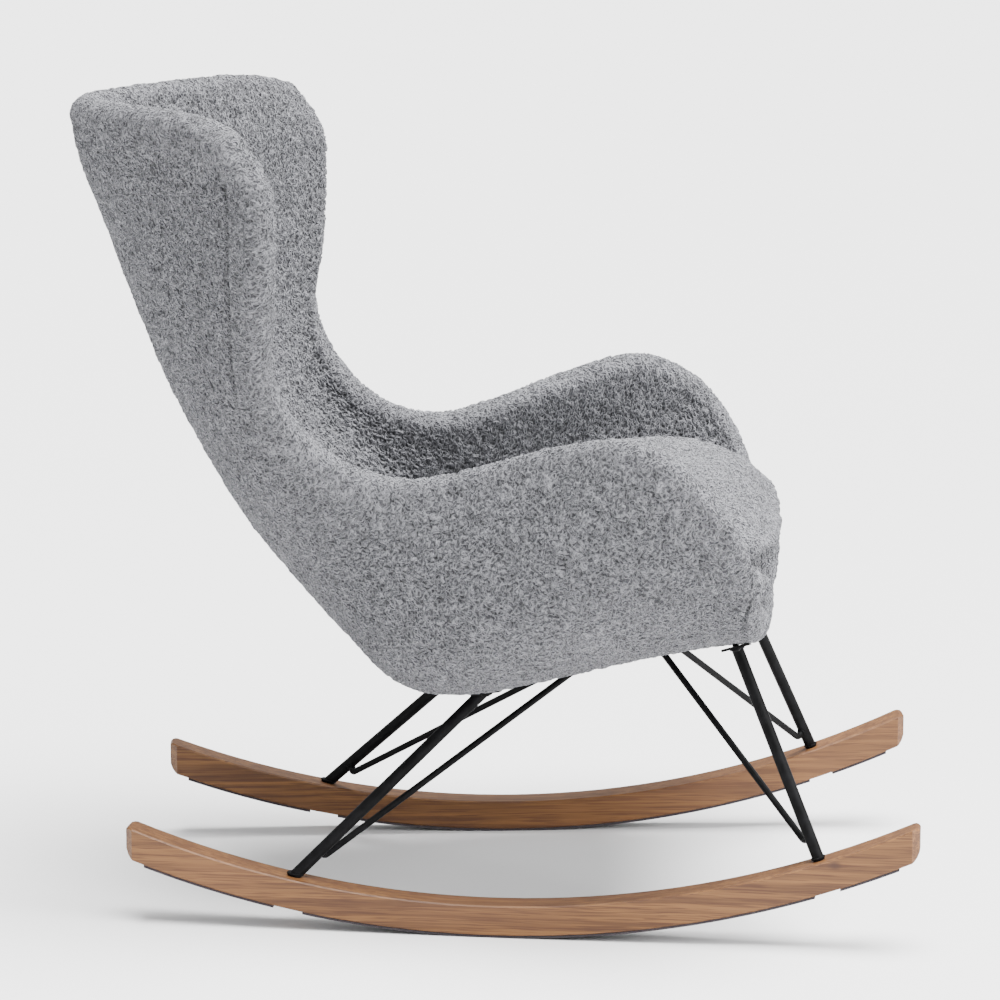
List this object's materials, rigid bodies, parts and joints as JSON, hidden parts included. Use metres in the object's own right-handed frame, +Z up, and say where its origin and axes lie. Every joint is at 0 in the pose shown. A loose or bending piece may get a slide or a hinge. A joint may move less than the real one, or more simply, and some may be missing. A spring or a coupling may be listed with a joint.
{
  "type": "rocking chair",
  "caption": "Winged tub rocking chair: padded one-piece bucket seat with arms, loose seat cushion, slim steel legs with brace rods, bent wooden rockers.",
  "frame": {"origin": "on the floor under the middle of the chair's bounding box", "axes": "+Z up, the sitter faces -Y, +X is the sitter's left, so the chair is longest from front to back along Y"},
  "size_m": [0.733, 1.0065, 0.9545],
  "materials": {
    "grey_boucle": "looped grey boucle, matt",
    "cushion_boucle": "looped grey boucle, matt",
    "plywood": "bare moulded plywood",
    "oak": "clear satin lacquer over light brown oak",
    "black_steel": "satin black powder coat",
    "foot_steel": "satin black powder coat",
    "zinc": "bright zinc plate",
    "glide_felt": "dark purple-brown pressed felt and rubber strip"
  },
  "bodies": {
    "chair": {"outer_upholstery": "grey_boucle", "inner_upholstery": "grey_boucle", "shell_core": "plywood", "centre_plate": "black_steel", "centre_screw_1": "black_steel", "centre_screw_2": "black_steel", "centre_screw_3": "black_steel", "centre_screw_4": "black_steel", "rocker_left": "oak", "glide_front_left": "glide_felt", "glide_middle_left": "glide_felt", "glide_rear_left": "glide_felt", "foot_plate_front_left": "foot_steel", "washer_front_left": "zinc", "foot_bolt_front_left": "zinc", "leg_front_left": "black_steel", "leg_plate_front_left": "black_steel", "brace_rod_front_left": "black_steel", "plate_screw_front_left_1": "black_steel", "plate_insert_front_left_1": "zinc", "plate_screw_front_left_2": "black_steel", "plate_insert_front_left_2": "zinc", "foot_plate_rear_left": "foot_steel", "washer_rear_left": "zinc", "foot_bolt_rear_left": "zinc", "leg_rear_left": "black_steel", "leg_plate_rear_left": "black_steel", "brace_rod_rear_left": "black_steel", "plate_screw_rear_left_1": "black_steel", "plate_insert_rear_left_1": "zinc", "plate_screw_rear_left_2": "black_steel", "plate_insert_rear_left_2": "zinc", "rocker_right": "oak", "glide_front_right": "glide_felt", "glide_middle_right": "glide_felt", "glide_rear_right": "glide_felt", "foot_plate_front_right": "foot_steel", "washer_front_right": "zinc", "foot_bolt_front_right": "zinc", "leg_front_right": "black_steel", "leg_plate_front_right": "black_steel", "brace_rod_front_right": "black_steel", "plate_screw_front_right_1": "black_steel", "plate_insert_front_right_1": "zinc", "plate_screw_front_right_2": "black_steel", "plate_insert_front_right_2": "zinc", "foot_plate_rear_right": "foot_steel", "washer_rear_right": "zinc", "foot_bolt_rear_right": "zinc", "leg_rear_right": "black_steel", "leg_plate_rear_right": "black_steel", "brace_rod_rear_right": "black_steel", "plate_screw_rear_right_1": "black_steel", "plate_insert_rear_right_1": "zinc", "plate_screw_rear_right_2": "black_steel", "plate_insert_rear_right_2": "zinc"},
    "cushion": {"seat_cushion": "cushion_boucle"}
  },
  "joints": [
    {"name": "cushion_lift", "type": "slide", "parent": "chair", "child": "cushion", "axis": [0, 0, 1], "range_m": [0, 0.3]}
  ]
}
